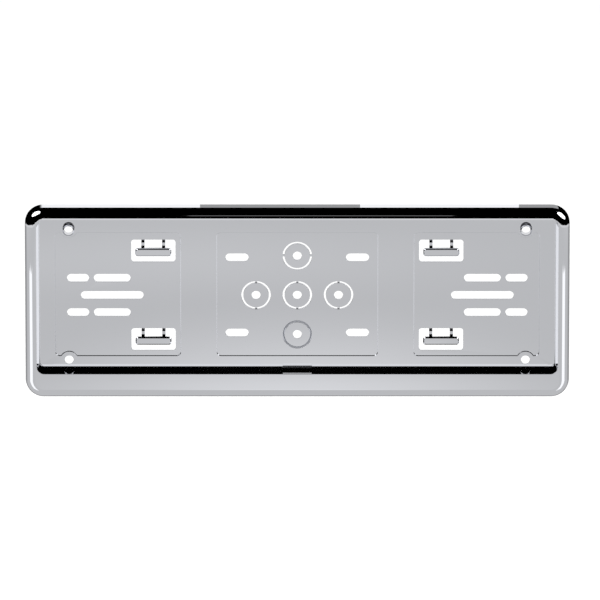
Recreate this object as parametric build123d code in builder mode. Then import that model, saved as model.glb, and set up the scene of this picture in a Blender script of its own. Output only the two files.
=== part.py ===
import os
from math import atan2, cos, degrees, radians, sqrt, tan

from build123d import *

# Number plate holder: one thin plated moulding, seen from the front along +Y, with +Z up.
# The origin is the central screw place, on the plane where the back meets the car.
# Sketches lie on planes parallel to XZ, and their level is the distance forward of that plane.

# Number plate that the holder takes
plate_width = 360.0
plate_height = 110.0
plate_lift = 4.0  # back of the plate above the bed, on the spring pads and collars
side_clearance = 2.67  # beside each end of the plate
edge_clearance = 0.75  # above and below the plate

# Rim, bed and recessed panels
wall = 2.0
rim_height = 11.5  # crest above the bed
wall_draft = 9.5  # lean of the rim's inner wall, in degrees
top_crest = 0.3  # flat crest along the top
side_crest = 1.0  # flat crest along the sides
bottom_band = 11.3  # flat band along the bottom
edge_radius = 7.0  # round outer edge of the rim
corner_radius = 13.0  # outer corners, seen from the front
bed_corner_radius = 3.4
foot_radius = 0.4  # where the inner wall meets the bed
bed_rise = 2.3  # middle of the bed above the central screw place
panel_depth = 0.8
panel_slope = 0.25  # run of a panel's steep edge
panel_corner_radius = 3.0
panel_top_margin = 10.9  # bed above the panels
panel_bottom_margin = 8.0  # bed below the panels
panel_side_margin = 11.2  # bed outside the side panels
side_panel_width = 88.5
centre_panel_width = 113.6

# Corner holes, the upper two in raised collars
screw_hole = 6.4
corner_inset_x = 20.8  # from the side of the bed
corner_inset_top = 8.1
corner_inset_bottom = 5.0
collar_diameter = 8.8  # at the bed's back
collar_mouth = 8.4
collar_edge = 0.9  # bevel round the mouth
notch_radius = 6.3  # bed left standing round a corner hole, in the panel's edge

# Five ringed screw places, in a cross
ring_pitch = 29.1
ring_diameter = 19.4
ring_slit = 1.4
web_width = 1.5
web_thickness = 1.0
score_depth = 1.2  # the lowest ring isn't slit through

# Mounting slots
slot_width = 6.0
centre_slot_length = 16.4
centre_slot_pitch_x = 85.0
centre_slot_pitch_z = 55.8
short_slot_length = 15.7
long_slot_length = 26.1
middle_slot_length = 44.4
slot_row_pitch = 12.75
short_slot_inset = 16.1  # from the outer edge of the side panel
long_slot_inset = 40.2

# Spring tongues in their windows
window_width = 31.3
window_height = 16.5
window_corner_radius = 2.0
window_inset_x = 19.2  # window's middle from the inner edge of the side panel
window_inset_top = 13.6  # upper window's middle below the panel's top edge
window_inset_bottom = 12.0  # lower window's middle above the panel's bottom edge
pad_width = 25.4
pad_height = 5.9
pad_thickness = 2.0
pad_corner_radius = 2.0
pad_bevel = 0.9
pad_drop = 5.1  # from the window's upper edge to the pad
leg_pitch = 14.6
leg_width = 2.3
leg_thickness = 1.0
leg_root = 1.2  # leg inside the panel's edge
leg_out_drop = 0.9  # straight run out of the window's edge
leg_loop = 2.6  # how far a leg's first bend stands in front of the panel
leg_loop_drop = 1.5  # first bend below the window's edge
leg_dip = 0.2  # how far it then turns back
leg_dip_drop = 3.6  # second bend below the window's edge
leg_entry = 1.5  # leg's middle behind the pad's front, where it meets the pad
leg_entry_drop = 4.8
leg_grip = 1.5  # leg's end inside the pad

# Plain raised place on the bottom wall
badge_width = 20.4
badge_proud = 0.6
badge_margin = 0.9  # from the wall's foot and its crest

# Worked out from the sizes above
draft_run = tan(radians(wall_draft))
lift_run = plate_lift * draft_run
wall_run = rim_height * draft_run
wall_across = wall / cos(radians(wall_draft))
bed_half_width = plate_width / 2 + side_clearance - lift_run
bed_top = bed_rise + plate_height / 2 + edge_clearance - lift_run
bed_bottom = bed_rise - plate_height / 2 - edge_clearance + lift_run
bed_back = panel_depth
bed_front = panel_depth + wall
rim_front = bed_front + rim_height
hollow_chamfer = (edge_radius - wall) * (2 - sqrt(2))  # touches the round edge's inside
pad_front = bed_front + plate_lift
rim_side = bed_half_width + wall_run + side_crest + edge_radius
rim_top = bed_top + wall_run + top_crest + edge_radius
rim_bottom = bed_bottom - wall_run - bottom_band - edge_radius
panel_top = bed_top - panel_top_margin
panel_bottom = bed_bottom + panel_bottom_margin
panel_outer = bed_half_width - panel_side_margin
panel_inner = panel_outer - side_panel_width
panel_taper = degrees(atan2(panel_slope, panel_depth))
pad_spread = wall * tan(radians(90 - panel_taper) / 2)  # keeps the wall's thickness at the slope
corner_x = bed_half_width - corner_inset_x
corner_top = bed_top - corner_inset_top
corner_bottom = bed_bottom + corner_inset_bottom
window_x = panel_inner + window_inset_x
window_top = panel_top - window_inset_top
window_bottom = panel_bottom + window_inset_bottom


def rounded_outline(level, half_width, top, bottom, radius):
    with BuildSketch(Plane.XZ.offset(level)) as outline:
        with Locations((0, (top + bottom) / 2)):
            RectangleRounded(2 * half_width, top - bottom, radius)
    return outline.sketch


def rim_outline(level, inset):
    return rounded_outline(
        level, rim_side - inset, rim_top - inset, rim_bottom + inset, corner_radius - inset
    )


def bed_outline(level, spread):
    return rounded_outline(
        level, bed_half_width + spread, bed_top + spread, bed_bottom - spread, bed_corner_radius + spread
    )


def panel_outlines(level, spread):
    height = panel_top - panel_bottom + 2 * spread
    middle = (panel_top + panel_bottom) / 2
    radius = panel_corner_radius + spread
    side_x = (panel_outer + panel_inner) / 2
    with BuildSketch(Plane.XZ.offset(level)) as panels:
        with Locations((-side_x, middle), (side_x, middle)):
            RectangleRounded(side_panel_width + 2 * spread, height, radius)
        with Locations((0, middle)):
            RectangleRounded(centre_panel_width + 2 * spread, height, radius)
    return panels.sketch


def corner_discs(level, radius):
    with BuildSketch(Plane.XZ.offset(level)) as discs:
        for disc_z in (corner_bottom, corner_top):
            with Locations((-corner_x, disc_z), (corner_x, disc_z)):
                Circle(radius)
    return discs.sketch


def panel_blocks(level, spread, amount, taper):
    with BuildPart() as blocks:
        extrude(panel_outlines(level, spread), amount=amount, taper=taper)
        notches = corner_discs(level, notch_radius - spread)
        extrude(notches, amount=amount, taper=-taper, mode=Mode.SUBTRACT)
    return blocks.part


# Space behind the rim: the rim's outer form less its wall, round the walls of the bed
with BuildPart() as rim_hollow:
    extrude(rim_outline(0, wall), amount=rim_front - wall)
    chamfer(rim_hollow.faces().sort_by(Axis.Y)[0].edges(), hollow_chamfer)
    extrude(
        bed_outline(bed_back, wall_across - wall * draft_run),
        amount=rim_front - bed_back,
        taper=-wall_draft,
        mode=Mode.SUBTRACT,
    )

# Collar that stands up to the plate's back
with BuildPart() as collar:
    with BuildSketch(Plane.XY):
        with BuildLine():
            Polyline(
                (0, -bed_back),
                (collar_diameter / 2, -bed_back),
                (collar_mouth / 2, -pad_front + collar_edge),
                (collar_mouth / 2 - collar_edge, -pad_front),
                (0, -pad_front),
                close=True,
            )
        make_face()
    revolve(axis=Axis.Y)

# Spring tongue: a bevelled pad on two zigzag legs, hung from the upper edge of its window
with BuildPart() as spring_tongue:
    with BuildSketch(Plane.XZ.offset(pad_front - pad_thickness)):
        with Locations((0, -pad_drop - pad_height / 2)):
            RectangleRounded(pad_width, pad_height, pad_corner_radius)
    extrude(amount=pad_thickness)
    chamfer(spring_tongue.faces().sort_by(Axis.Y)[0].edges(), pad_bevel)
    leg_path = [
        (-wall / 2, leg_root),
        (-wall / 2, -leg_out_drop),
        (-wall - leg_loop, -leg_loop_drop),
        (-wall - leg_loop + leg_dip, -leg_dip_drop),
        (-pad_front + leg_entry, -leg_entry_drop),
        (-pad_front + pad_thickness / 2, -pad_drop - leg_grip),
    ]
    for leg_x in (-leg_pitch / 2, leg_pitch / 2):
        with BuildSketch(Plane.YZ.offset(leg_x)):
            with BuildLine():
                Polyline(leg_path)
            trace(line_width=leg_thickness)
        extrude(amount=leg_width / 2, both=True)

with BuildPart() as plate_holder:
    # Rim with its round outer edge, hollow at the back
    extrude(rim_outline(0, 0), amount=rim_front)
    fillet(plate_holder.faces().sort_by(Axis.Y)[0].edges(), edge_radius)
    add(rim_hollow.part, mode=Mode.SUBTRACT)

    # Pocket for the plate, with leaning walls
    extrude(bed_outline(bed_front, 0), amount=rim_height, taper=-wall_draft, mode=Mode.SUBTRACT)
    bed = plate_holder.faces().filter_by(Axis.Y).sort_by_distance((0, -bed_front, 0))[0]
    fillet(bed.edges(), foot_radius)

    # Recessed panels, which stand out at the back as mounting pads
    add(panel_blocks(0, pad_spread - panel_slope / 2, panel_depth, -panel_taper))
    add(panel_blocks(bed_front, panel_slope / 2, -panel_depth, panel_taper), mode=Mode.SUBTRACT)

    # Collars round the upper corner holes
    with Locations((-corner_x, 0, corner_top), (corner_x, 0, corner_top)):
        add(collar.part)

    # Windows, holes and slots
    with BuildSketch(Plane.XZ):
        for window_z in (window_bottom, window_top):
            with Locations((-window_x, window_z), (window_x, window_z)):
                RectangleRounded(window_width, window_height, window_corner_radius)
        add(corner_discs(0, screw_hole / 2))
        with Locations((0, 0), (-ring_pitch, 0), (ring_pitch, 0), (0, -ring_pitch), (0, ring_pitch)):
            Circle(screw_hole / 2)
        with GridLocations(centre_slot_pitch_x, centre_slot_pitch_z, 2, 2):
            SlotOverall(centre_slot_length, slot_width)
        with GridLocations(2 * (panel_outer - short_slot_inset), 2 * slot_row_pitch, 2, 2):
            SlotOverall(short_slot_length, slot_width)
        with GridLocations(2 * (panel_outer - long_slot_inset), 2 * slot_row_pitch, 2, 2):
            SlotOverall(long_slot_length, slot_width)
        with GridLocations(2 * (panel_outer - long_slot_inset), 0, 2, 1):
            SlotOverall(middle_slot_length, slot_width)
    extrude(amount=pad_front, mode=Mode.SUBTRACT)

    # Slit rings: a groove down to two thin webs, and a cut right through between them
    for ring_x, ring_z, web_angle in (
        (0, ring_pitch, 0),
        (-ring_pitch, 0, 90),
        (0, 0, 90),
        (ring_pitch, 0, 90),
    ):
        with BuildSketch(Plane.XZ.offset(web_thickness)):
            with Locations((ring_x, ring_z)):
                Circle((ring_diameter + ring_slit) / 2)
                Circle((ring_diameter - ring_slit) / 2, mode=Mode.SUBTRACT)
        extrude(amount=wall - web_thickness, mode=Mode.SUBTRACT)
        with BuildSketch(Plane.XZ):
            with Locations((ring_x, ring_z)):
                Circle((ring_diameter + ring_slit) / 2)
                Circle((ring_diameter - ring_slit) / 2, mode=Mode.SUBTRACT)
                Rectangle(2 * ring_diameter, web_width, rotation=web_angle, mode=Mode.SUBTRACT)
        extrude(amount=wall, mode=Mode.SUBTRACT)

    # The lowest ring is only scored, as a V-shaped groove
    with BuildSketch(Plane.YZ):
        with BuildLine():
            Polyline(
                (-wall, -ring_pitch + (ring_diameter - ring_slit) / 2),
                (-wall + score_depth, -ring_pitch + ring_diameter / 2),
                (-wall, -ring_pitch + (ring_diameter + ring_slit) / 2),
                close=True,
            )
        make_face()
    revolve(axis=Axis((0, 0, -ring_pitch), (0, 1, 0)), mode=Mode.SUBTRACT)

    # Spring tongues
    for window_z in (window_bottom, window_top):
        with Locations(
            (-window_x, 0, window_z + window_height / 2), (window_x, 0, window_z + window_height / 2)
        ):
            add(spring_tongue.part)

    # Plain raised place on the bottom wall
    badge_low = badge_margin
    badge_high = rim_height - badge_margin
    with BuildSketch(Plane.YZ):
        with BuildLine():
            Polyline(
                (-bed_front - badge_low, bed_bottom - badge_low * draft_run + badge_proud),
                (-bed_front - badge_high, bed_bottom - badge_high * draft_run + badge_proud),
                (-bed_front - badge_high, bed_bottom - badge_high * draft_run - wall / 2),
                (-bed_front - badge_low, bed_bottom - badge_low * draft_run - wall / 2),
                close=True,
            )
        make_face()
    extrude(amount=badge_width / 2, both=True)

os.makedirs("parts", exist_ok=True)
plate_holder.part.label = "plate_holder"
export_step(plate_holder.part, "parts/plate_holder.step")
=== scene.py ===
from math import cos, pi, radians, sin

import bmesh
import bpy
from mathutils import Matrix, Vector


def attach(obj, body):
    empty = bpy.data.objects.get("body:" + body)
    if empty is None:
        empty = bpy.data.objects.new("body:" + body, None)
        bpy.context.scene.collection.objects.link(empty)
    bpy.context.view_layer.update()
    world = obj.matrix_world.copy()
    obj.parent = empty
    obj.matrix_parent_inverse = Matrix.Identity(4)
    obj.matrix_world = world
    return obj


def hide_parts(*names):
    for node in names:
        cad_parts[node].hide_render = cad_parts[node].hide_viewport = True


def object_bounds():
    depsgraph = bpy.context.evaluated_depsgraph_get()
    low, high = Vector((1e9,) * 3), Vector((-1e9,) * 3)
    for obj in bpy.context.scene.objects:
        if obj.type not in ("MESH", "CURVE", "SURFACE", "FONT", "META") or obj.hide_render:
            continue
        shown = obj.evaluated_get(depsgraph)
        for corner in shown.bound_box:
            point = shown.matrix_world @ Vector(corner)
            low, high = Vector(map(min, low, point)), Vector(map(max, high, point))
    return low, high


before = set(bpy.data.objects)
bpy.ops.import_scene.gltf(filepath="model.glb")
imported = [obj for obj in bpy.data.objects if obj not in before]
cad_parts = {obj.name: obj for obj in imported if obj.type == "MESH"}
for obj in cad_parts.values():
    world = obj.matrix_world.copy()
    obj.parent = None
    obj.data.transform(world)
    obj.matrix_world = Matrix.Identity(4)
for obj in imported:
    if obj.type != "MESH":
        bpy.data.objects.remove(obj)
cadLow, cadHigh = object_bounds()  # box of the CAD model, before anything is added
print("frame loaded:", sorted(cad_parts))

bpy.context.scene.view_settings.view_transform = "Standard"


def link(obj):
    bpy.context.scene.collection.objects.link(obj)
    return obj


def newMaterial(name):
    material = bpy.data.materials.new(name)
    material.use_nodes = True
    material.node_tree.nodes.clear()
    return material


def addNode(tree, kind, **values):
    node = tree.nodes.new(kind)
    for key, value in values.items():
        setattr(node, key, value)
    return node


def addMath(tree, operation, *terms):  # a term is a number or another node's output
    node = addNode(tree, "ShaderNodeMath", operation=operation)
    for socket, term in zip(node.inputs, terms):
        if isinstance(term, (int, float)):
            socket.default_value = term
        else:
            tree.links.new(term, socket)
    return node.outputs[0]


def setSurface(tree, shader):
    output = addNode(tree, "ShaderNodeOutputMaterial")
    tree.links.new(shader, output.inputs["Surface"])


# Chrome plating, polished at the front and satin at the back

platingLook = {
    "colour": (0.632, 0.64, 0.667),
    "cloudColour": (0.615, 0.624, 0.652),
    "cloudScale": 9.0,
    "cloudDetail": 3.0,
    "polish": 0.012,
    "polishSpread": 0.014,
    "smearScale": 78.0,
    "smearDetail": 4.0,
    "backSatin": 0.24,
    "waveScale": 26.0,
    "waveDetail": 1.0,
    "waveHeight": 0.0000035,
    "peelScale": 900.0,
    "peelDetail": 2.0,
    "peelHeight": 0.0000001,
}


def addNoise(tree, place, scale, detail):
    noise = addNode(tree, "ShaderNodeTexNoise")
    noise.inputs["Scale"].default_value = scale
    noise.inputs["Detail"].default_value = detail
    tree.links.new(place, noise.inputs["Vector"])
    return noise.outputs["Fac"]


def addBump(tree, height, distance):
    bump = addNode(tree, "ShaderNodeBump")
    bump.inputs["Distance"].default_value = distance
    tree.links.new(height, bump.inputs["Height"])
    return bump


def makePlating(look):
    material = newMaterial("chromePlating")
    tree = material.node_tree
    place = addNode(tree, "ShaderNodeTexCoord").outputs["Object"]

    cloud = addNoise(tree, place, look["cloudScale"], look["cloudDetail"])
    tint = addNode(tree, "ShaderNodeMix", data_type="RGBA")
    tint.inputs["A"].default_value = (*look["colour"], 1.0)
    tint.inputs["B"].default_value = (*look["cloudColour"], 1.0)
    tree.links.new(cloud, tint.inputs["Factor"])

    smear = addNoise(tree, place, look["smearScale"], look["smearDetail"])
    polish = addMath(tree, "MULTIPLY", smear, look["polishSpread"])
    polish = addMath(tree, "ADD", polish, look["polish"])
    back = addNode(tree, "ShaderNodeAttribute", attribute_name="backSide")
    satin = addMath(tree, "MULTIPLY", back.outputs["Fac"], look["backSatin"])
    roughness = addMath(tree, "ADD", polish, satin)

    wave = addNoise(tree, place, look["waveScale"], look["waveDetail"])
    waveBump = addBump(tree, wave, look["waveHeight"])
    peel = addNoise(tree, place, look["peelScale"], look["peelDetail"])
    peelBump = addBump(tree, peel, look["peelHeight"])
    tree.links.new(waveBump.outputs["Normal"], peelBump.inputs["Normal"])

    metal = addNode(tree, "ShaderNodeBsdfPrincipled")
    metal.inputs["Metallic"].default_value = 1.0
    tree.links.new(tint.outputs["Result"], metal.inputs["Base Color"])
    tree.links.new(roughness, metal.inputs["Roughness"])
    tree.links.new(peelBump.outputs["Normal"], metal.inputs["Normal"])
    setSurface(tree, metal.outputs["BSDF"])
    return material


plating = makePlating(platingLook)
print("plating made")

# Moulding: the CAD form with a finer round rim and soft edges

mouldingForm = {
    "mergeDistance": 0.000002,
    "spotSize": 0.0000001,  # nearer points are in one place
    "flatAngle": 0.3,  # degrees, under which triangles are one flat face
    "rimRound": 0.007,
    "cornerRound": 0.013,
    "rimSlack": 0.0001,  # how far off the rim's round a point of it may lie
    "spineSlack": 0.00001,  # and how far behind the round's centre
    "rimCuts": 1,
    "edgeAngle": 32.0,  # degrees, over which an edge is softened
    "edgeSoftness": 0.0001,
    "edgeSteps": 2,
    "faceWeight": 100,  # the large faces lead the shading
    "backTurn": 0.3,  # a face whose normal goes further back than this is at the back
}


def rimSpine(point, form):  # where the centre of the rim's round edge runs, nearest to a point
    inset = form["cornerRound"]
    heart = Vector((
        min(max(point.x, cadLow.x + inset), cadHigh.x - inset),
        0.0,
        min(max(point.z, cadLow.z + inset), cadHigh.z - inset),
    ))
    out = Vector((point.x - heart.x, 0.0, point.z - heart.z))
    if out.length < form["spotSize"]:
        return None
    spine = heart + out.normalized() * (inset - form["rimRound"])
    spine.y = cadLow.y + form["rimRound"]
    return spine


def onRimRound(point, form):
    spine = rimSpine(point, form)
    if spine is None or point.y > spine.y + form["spineSlack"]:
        return False
    return abs((point - spine).length - form["rimRound"]) < form["rimSlack"]


def makeBlank(node, form):  # the CAD form in flat faces, with more steps round the rim
    work = bmesh.new()
    work.from_mesh(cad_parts[node].data)
    bmesh.ops.remove_doubles(work, verts=work.verts, dist=form["mergeDistance"])
    flatLimit = radians(form["flatAngle"])
    bmesh.ops.dissolve_limit(work, angle_limit=flatLimit, verts=work.verts, edges=work.edges)
    work.normal_update()

    rimFaces = [face for face in work.faces if all(onRimRound(vert.co, form) for vert in face.verts)]
    rimEdges = {edge for face in rimFaces for edge in face.edges}
    print("rim faces", len(rimFaces), "of", len(work.faces))
    cut = bmesh.ops.subdivide_edges(
        work, edges=list(rimEdges), cuts=form["rimCuts"], use_grid_fill=True
    )
    newVerts = {item for item in cut["geom_inner"] if isinstance(item, bmesh.types.BMVert)}
    for vert in newVerts:
        spine = rimSpine(vert.co, form)
        vert.co = spine + (vert.co - spine).normalized() * form["rimRound"]

    points = [vert.co.copy() for vert in work.verts]
    work.verts.index_update()
    faces = [[vert.index for vert in face.verts] for face in work.faces]
    work.free()
    mesh = bpy.data.meshes.new("mouldingBlank")
    mesh.from_pydata(points, [], faces)
    mesh.shade_smooth()
    return link(bpy.data.objects.new("mouldingBlank", mesh))


def makeMoulding(node, form):
    blank = makeBlank(node, form)
    soften = blank.modifiers.new("softEdges", "BEVEL")
    soften.limit_method = "ANGLE"
    soften.angle_limit = radians(form["edgeAngle"])
    soften.width = form["edgeSoftness"]
    soften.segments = form["edgeSteps"]
    soften.use_clamp_overlap = False
    even = blank.modifiers.new("evenNormals", "WEIGHTED_NORMAL")
    even.keep_sharp = True
    even.weight = form["faceWeight"]

    depsgraph = bpy.context.evaluated_depsgraph_get()
    finished = bpy.data.meshes.new_from_object(blank.evaluated_get(depsgraph))
    finished.name = "chromeMoulding"
    blankMesh = blank.data
    bpy.data.objects.remove(blank)
    bpy.data.meshes.remove(blankMesh)
    for vert in finished.vertices:  # no softened edge stands out of the CAD model's box
        vert.co = [min(max(value, low), high) for value, low, high in zip(vert.co, cadLow, cadHigh)]

    back = finished.attributes.new("backSide", "FLOAT", "FACE")
    atBack = [float(face.normal.y > form["backTurn"]) for face in finished.polygons]
    back.data.foreach_set("value", atBack)
    finished.materials.append(plating)
    return link(bpy.data.objects.new("chromeMoulding", finished))


moulding = makeMoulding("plate_holder", mouldingForm)
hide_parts("plate_holder")
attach(moulding, "root")
print("moulding made:", len(moulding.data.polygons), "faces")

# Camera at the photograph's angle, far off with a long lens

cameraPlace = {
    "azimuth": 0.0,
    "elevation": 18.0,
    "distance": 10.0,
    "lens": 850.0,
    "sensor": 36.0,
    "farClip": 100.0,
    "targetRight": 0.00191,  # image centre from the middle screw hole, across the view
    "targetUp": -0.00402,
}


def makeCamera(place):
    turn = radians(place["azimuth"])
    lift = radians(place["elevation"])
    toCamera = Vector((sin(turn) * cos(lift), -cos(turn) * cos(lift), sin(lift)))
    aim = (-toCamera).to_track_quat("-Z", "Y")
    target = aim @ Vector((place["targetRight"], place["targetUp"], 0.0))
    camera = link(bpy.data.objects.new("camera", bpy.data.cameras.new("camera")))
    camera.data.lens = place["lens"]
    camera.data.sensor_width = place["sensor"]
    camera.data.clip_end = place["farClip"]
    camera.rotation_mode = "QUATERNION"
    camera.rotation_quaternion = aim
    camera.location = target + toCamera * place["distance"]
    bpy.context.scene.camera = camera


makeCamera(cameraPlace)
print("camera placed")

# Studio: a white world, white paper below that glows in the chrome with painted pools of light and
# shade, and a dark room over it, seen only in the chrome as painted shade, that is open low down
# behind

studio = {
    "worldLight": 1.0,
    "floorLevel": -0.6,
    "floorHalf": 14.0,
    "paper": 0.93,
    "paperBright": 0.96,  # far paper, as the chrome shows it
    "roomRadius": 3.2,
    "roomSteps": 24,
    "roomHalfWidth": 4.0,
    "roomBackLift": 20.6,  # degrees, where the dark room ends behind
    "roomGap": 0.5,  # half of the opening under its front
}

# Ovals of light and shade on the paper, seen in the chrome
paperPools = {
    "near": {"place": (0.0, 0.0), "size": (2.5, 2.5), "edge": 0.15, "bright": -0.19},
    "front": {"place": (0.0, -1.5), "size": (0.3, 0.36), "edge": 1.0, "bright": 0.38},
    "middle": {"place": (-0.1, -1.95), "size": (0.4, 0.14), "edge": 1.0, "bright": 0.07},
    "behind": {"place": (0.0, 2.6), "size": (5.0, 2.6), "edge": 0.4, "bright": -0.38},
    "shadow": {"place": (0.0, 0.75), "size": (0.7, 0.5), "edge": 0.3, "bright": -0.4},
}


def makeWorld(values):
    world = bpy.data.worlds.new("studioWorld")
    bpy.context.scene.world = world
    world.use_nodes = True
    tree = world.node_tree
    tree.nodes.clear()
    sky = addNode(tree, "ShaderNodeBackground")
    sky.inputs["Color"].default_value = (1.0, 1.0, 1.0, 1.0)
    sky.inputs["Strength"].default_value = values["worldLight"]
    output = addNode(tree, "ShaderNodeOutputWorld")
    tree.links.new(sky.outputs["Background"], output.inputs["Surface"])


def addPool(tree, pool):  # what one painted oval of light or shade adds to the paper's glow in the chrome
    oval = addNode(tree, "ShaderNodeMapping", vector_type="TEXTURE")
    oval.inputs["Location"].default_value = (*pool["place"], studio["floorLevel"])
    oval.inputs["Scale"].default_value = (*pool["size"], 1.0)
    place = addNode(tree, "ShaderNodeTexCoord").outputs["Object"]
    tree.links.new(place, oval.inputs["Vector"])
    fade = addNode(tree, "ShaderNodeTexGradient", gradient_type="SPHERICAL")
    tree.links.new(oval.outputs["Vector"], fade.inputs["Vector"])
    soft = addNode(tree, "ShaderNodeMapRange", interpolation_type="SMOOTHSTEP")
    soft.inputs["From Max"].default_value = pool["edge"]
    soft.inputs["To Max"].default_value = pool["bright"]
    tree.links.new(fade.outputs["Fac"], soft.inputs["Value"])
    return soft.outputs["Result"]


def paperMaterial(values, pools):  # lit paper to the camera, and in the chrome a steady glow, not lit by the lamps, with painted pools of light and shade
    material = newMaterial("whitePaper")
    tree = material.node_tree
    bright = values["paperBright"]
    for pool in pools.values():
        bright = addMath(tree, "ADD", addPool(tree, pool), bright)
    # the paper as the chrome shows it: a glow with painted light and shade
    mirrored = addNode(tree, "ShaderNodeEmission")
    tree.links.new(bright, mirrored.inputs["Strength"])
    paper = addNode(tree, "ShaderNodeBsdfDiffuse")
    paper.inputs["Color"].default_value = (values["paper"],) * 3 + (1.0,)
    path = addNode(tree, "ShaderNodeLightPath")
    reflected = addMath(
        tree, "ADD", path.outputs["Is Glossy Ray"], path.outputs["Is Transmission Ray"]
    )
    mix = addNode(tree, "ShaderNodeMixShader")
    tree.links.new(reflected, mix.inputs["Fac"])
    tree.links.new(paper.outputs["BSDF"], mix.inputs[1])
    tree.links.new(mirrored.outputs["Emission"], mix.inputs[2])
    setSurface(tree, mix.outputs["Shader"])
    return material


def cardMaterial(name, strength, fade=None):  # a fade is where, to both sides, it starts and ends
    material = newMaterial(name)
    tree = material.node_tree
    glow = addNode(tree, "ShaderNodeEmission")
    glow.inputs["Strength"].default_value = strength
    if fade:
        place = addNode(tree, "ShaderNodeSeparateXYZ")
        tree.links.new(addNode(tree, "ShaderNodeTexCoord").outputs["Object"], place.inputs["Vector"])
        across = addMath(tree, "ABSOLUTE", place.outputs["X"])
        soft = addNode(tree, "ShaderNodeMapRange", interpolation_type="SMOOTHSTEP")
        soft.inputs["From Min"].default_value, soft.inputs["From Max"].default_value = fade
        soft.inputs["To Min"].default_value = strength
        soft.inputs["To Max"].default_value = 0.0
        tree.links.new(across, soft.inputs["Value"])
        tree.links.new(soft.outputs["Result"], glow.inputs["Strength"])
    setSurface(tree, glow.outputs["Emission"])
    return material


def clearFromBehind(material):
    tree = material.node_tree
    clear = addNode(tree, "ShaderNodeBsdfTransparent")
    side = addNode(tree, "ShaderNodeNewGeometry")
    mix = addNode(tree, "ShaderNodeMixShader")
    tree.links.new(side.outputs["Backfacing"], mix.inputs["Fac"])
    tree.links.new(tree.nodes["Emission"].outputs["Emission"], mix.inputs[1])
    tree.links.new(clear.outputs["BSDF"], mix.inputs[2])
    tree.links.new(mix.outputs["Shader"], tree.nodes["Material Output"].inputs["Surface"])
    return material


def onlyInMirrors(obj):  # seen in the chrome, but not by the camera, and it takes no light away
    obj.visible_camera = False
    obj.visible_diffuse = False
    obj.visible_shadow = False
    obj.visible_transmission = False
    obj.visible_volume_scatter = False


def makeBackdrop(name, points, faces, material):
    mesh = bpy.data.meshes.new(name)
    mesh.from_pydata(points, [], faces)
    mesh.materials.append(material)
    backdrop = link(bpy.data.objects.new(name, mesh))
    return backdrop


def makeFloor(values, pools):
    half = values["floorHalf"]
    level = values["floorLevel"]
    points = [(-half, -half, level), (half, -half, level), (half, half, level), (-half, half, level)]
    makeBackdrop("paperFloor", points, [(0, 1, 2, 3)], paperMaterial(values, pools))


def makeDarkRoom(values):  # an arch with closed ends, and a wall under its front but for a gap; black and seen only in the chrome, it paints shade into the reflections
    steps = values["roomSteps"]
    level = values["floorLevel"]
    radius = values["roomRadius"]
    half = values["roomHalfWidth"]
    gap = values["roomGap"]
    end = pi - radians(values["roomBackLift"])
    turns = [end * step / steps for step in range(steps + 1)]
    arch = [(-radius * cos(turn), radius * sin(turn)) for turn in turns]
    profile = [*arch, (arch[-1][0], level), (-radius, level)]
    count = len(profile)
    points = [(side * half, y, z) for side in (-1, 1) for y, z in profile]
    faces = [(i, i + 1, count + i + 1, count + i) for i in range(steps)]
    faces += [tuple(range(count)), tuple(range(count, 2 * count))]
    frontWall = [(gap, level), (half, level), (half, 0.0), (gap, 0.0)]
    for side in (-1, 1):
        first = len(points)
        points += [(side * x, -radius, z) for x, z in frontWall]
        faces.append(tuple(range(first, len(points))))
    # painted shade: a black card that only the chrome sees
    onlyInMirrors(makeBackdrop("darkRoom", points, faces, cardMaterial("darkCloth", 0.0)))


# Glowing white sheets that lie on the paper at both sides, corner by corner, seen only in the
# chrome: painted highlights
sideHighlightSheet = {
    "corners": ((0.34, -0.51), (1.25, -1.635), (1.703, -1.227), (1.98, -0.75), (0.58, -0.34)),
    "lift": 0.002,
    "bright": 1.55,
}


def makeSideHighlightSheet(name, values, sign):
    level = studio["floorLevel"] + values["lift"]
    points = [(sign * x, y, level) for x, y in values["corners"]]
    # the sheet glows brighter than white and lights nothing: a painted highlight in the chrome
    material = cardMaterial(name, values["bright"])
    onlyInMirrors(makeBackdrop(name, points, [tuple(range(len(points)))], material))


# Glowing white cards that stand on the paper, seen only from the pocket's far wall: painted
# highlights on that wall
wallHighlightCard = {
    "middle": (0.3746, -1.5006),
    "turn": 13.7,  # degrees from straight ahead
    "halfLength": 0.245,
    "height": 0.23,
    "bright": 1.6,
}


def makeWallHighlightCard(name, values, sign):
    turn = radians(values["turn"])
    x, y = values["middle"]
    middle = Vector((sign * x, y, studio["floorLevel"]))
    along = Vector((sign * sin(turn), -cos(turn), 0.0)) * values["halfLength"]
    up = Vector((0.0, 0.0, values["height"]))
    points = [middle - along, middle + along, middle + along + up, middle - along + up]
    # a glowing card that lights nothing, seen only in the chrome: a painted highlight
    material = clearFromBehind(cardMaterial(name, values["bright"]))
    onlyInMirrors(makeBackdrop(name, points[::sign], [(0, 1, 2, 3)], material))


makeWorld(studio)
makeFloor(studio, paperPools)
for sideName, sideSign in (("Right", 1), ("Left", -1)):
    makeSideHighlightSheet("sideHighlightSheet" + sideName, sideHighlightSheet, sideSign)
    makeWallHighlightCard("wallHighlightCard" + sideName, wallHighlightCard, sideSign)
makeDarkRoom(studio)
print("studio made")

# Lamp and cards: a light overhead; cards seen only in the chrome paint highlights and shade: a large
# round softbox at each side, strips of painted highlight and shade close behind the top edge, and
# what stands in front

topLight = {
    "place": (0.3, -0.4, 2.4),
    "size": 1.6,
    "power": 35.0,
}

roundSides = 32  # sides of a round card

# each card glows or is black and lights nothing; seen only in the chrome, it is a painted highlight,
# reflection or shade
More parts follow.
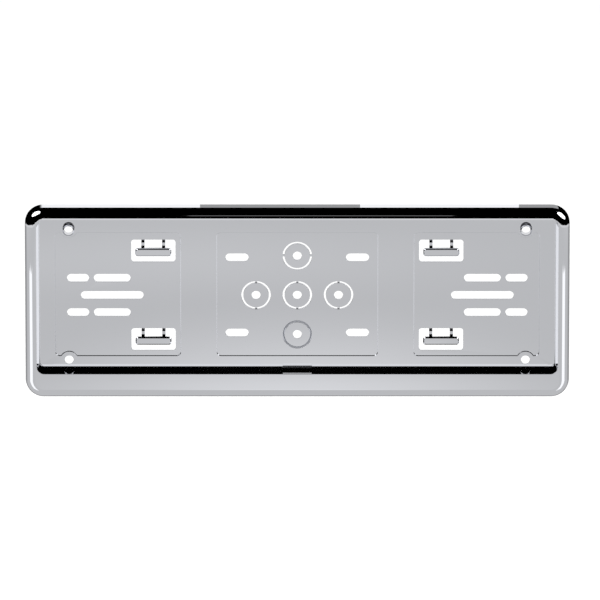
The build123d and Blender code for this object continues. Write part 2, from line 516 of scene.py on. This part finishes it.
cards = {
    # the softboxes are glowing cards, not lamps: painted highlights in the chrome
    "softboxLeft": {
        "centre": (-0.945, -0.19, 1.149), "half": (0.58, 0.54), "bright": 3.0, "round": True,
    },
    "softboxRight": {
        "centre": (1.198, -0.137, 0.89), "half": (0.58, 0.54), "bright": 3.0, "round": True,
    },
    # a dim glowing card: the camera stand's painted reflection
    "cameraStand": {"centre": (0.02, -2.024, 1.289), "half": (0.115, 0.147), "bright": 0.2},
    # a glowing strip just behind the top edge, seen only in the top rim: a painted highlight along
    # it
    "topHighlightStrip": {
        "centre": (0.0, 0.055, 0.0841), "half": (0.2, 0.0051), "bright": 1.3,
        "fade": (0.181, 0.19), "upright": True,
    },
    "topShade": {
        "centre": (-0.0122, 0.053, 0.084), "half": (0.0567, 0.006), "bright": 0.45, "upright": True,
    },
    "topShadeRight": {
        "centre": (0.177, 0.053, 0.084), "half": (0.02, 0.006), "bright": 0.45, "upright": True,
    },
    # a black card just behind each top corner, seen only in the chrome: painted shade on the corners
    "cornerShadeCard": {
        "centre": (0.25, 0.06, 0.075), "half": (0.06, 0.04), "bright": 0.0,
        "upright": True, "paired": True,
    },
    # a black card in front, seen only in the chrome: painted shade
    "frontShadeCard": {"centre": (0.0, -0.5, 0.045), "half": (0.3, 0.035), "bright": 0.0},
    # a glowing card far in front, low down, seen only in the chrome: a painted highlight
    "frontHighlightCard": {"centre": (0.0, -2.6, -0.14), "half": (0.45, 0.11), "bright": 1.35},
}


def makeTopLamp(values):
    lamp = bpy.data.lights.new("topLamp", "AREA")
    lamp.shape = "SQUARE"
    lamp.size = values["size"]
    lamp.energy = values["power"]
    holder = link(bpy.data.objects.new("topLamp", lamp))
    holder.location = values["place"]
    holder.rotation_mode = "QUATERNION"
    holder.rotation_quaternion = (-Vector(values["place"])).to_track_quat("-Z", "Y")
    holder.visible_glossy = False


def makeCard(name, values, sign):  # it faces the middle of the holder, unless it is upright
    x, y, z = values["centre"]
    centre = Vector((sign * x, y, z))
    across = Vector((y, -sign * x, 0.0)).normalized()
    up = across.cross(centre).normalized()
    if values.get("upright"):
        across = Vector((1.0, 0.0, 0.0))
        up = Vector((0.0, 0.0, 1.0))
    sides = roundSides if values.get("round") else 4
    reach = 1.0 if values.get("round") else 2 ** 0.5  # from the centre to a square's corner
    across *= values["half"][0] * reach
    up *= values["half"][1] * reach
    turns = [2 * pi * (side + 0.5) / sides for side in range(sides)]
    points = [centre + across * cos(turn) + up * sin(turn) for turn in turns]
    material = cardMaterial(name, values["bright"], values.get("fade"))
    onlyInMirrors(makeBackdrop(name, points, [tuple(range(sides))], material))


makeTopLamp(topLight)
for cardName, cardValues in cards.items():
    makeCard(cardName, cardValues, 1)
    if cardValues.get("paired"):
        makeCard(cardName + "Left", cardValues, -1)
print("lamp and cards placed")
